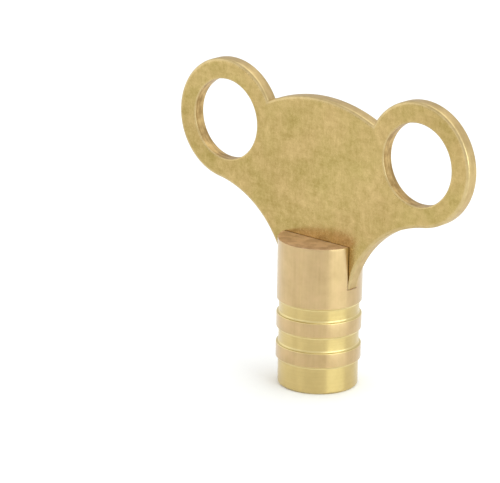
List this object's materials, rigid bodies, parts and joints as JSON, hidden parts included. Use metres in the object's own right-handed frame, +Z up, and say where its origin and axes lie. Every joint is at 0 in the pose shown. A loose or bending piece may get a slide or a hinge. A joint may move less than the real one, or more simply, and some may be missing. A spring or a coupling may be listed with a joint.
{
  "type": "radiator bleed key",
  "caption": "Solid brass radiator bleed key: a turned barrel with a square socket, and a flat handle plate with a ring ear on each side.",
  "frame": {"origin": "centre of the barrel's socket end face, on which the key stands", "axes": "+Z up the barrel towards the handle, +X from ear to ear, +Y through the plate towards the pinned side"},
  "size_m": [0.0388, 0.009, 0.033],
  "materials": {
    "turned_bar_brass": "satin drawn bar skin, with brighter lathe-turned grooves and socket end",
    "tumbled_sheet_brass": "tumbled satin sheet with faint mottling and rounded bright edges",
    "pin_brass": "dressed flush with the barrel, satin"
  },
  "bodies": {
    "root": {"barrel": "turned_bar_brass", "handle_plate": "tumbled_sheet_brass", "rivet_pin": "pin_brass"}
  },
  "joints": []
}
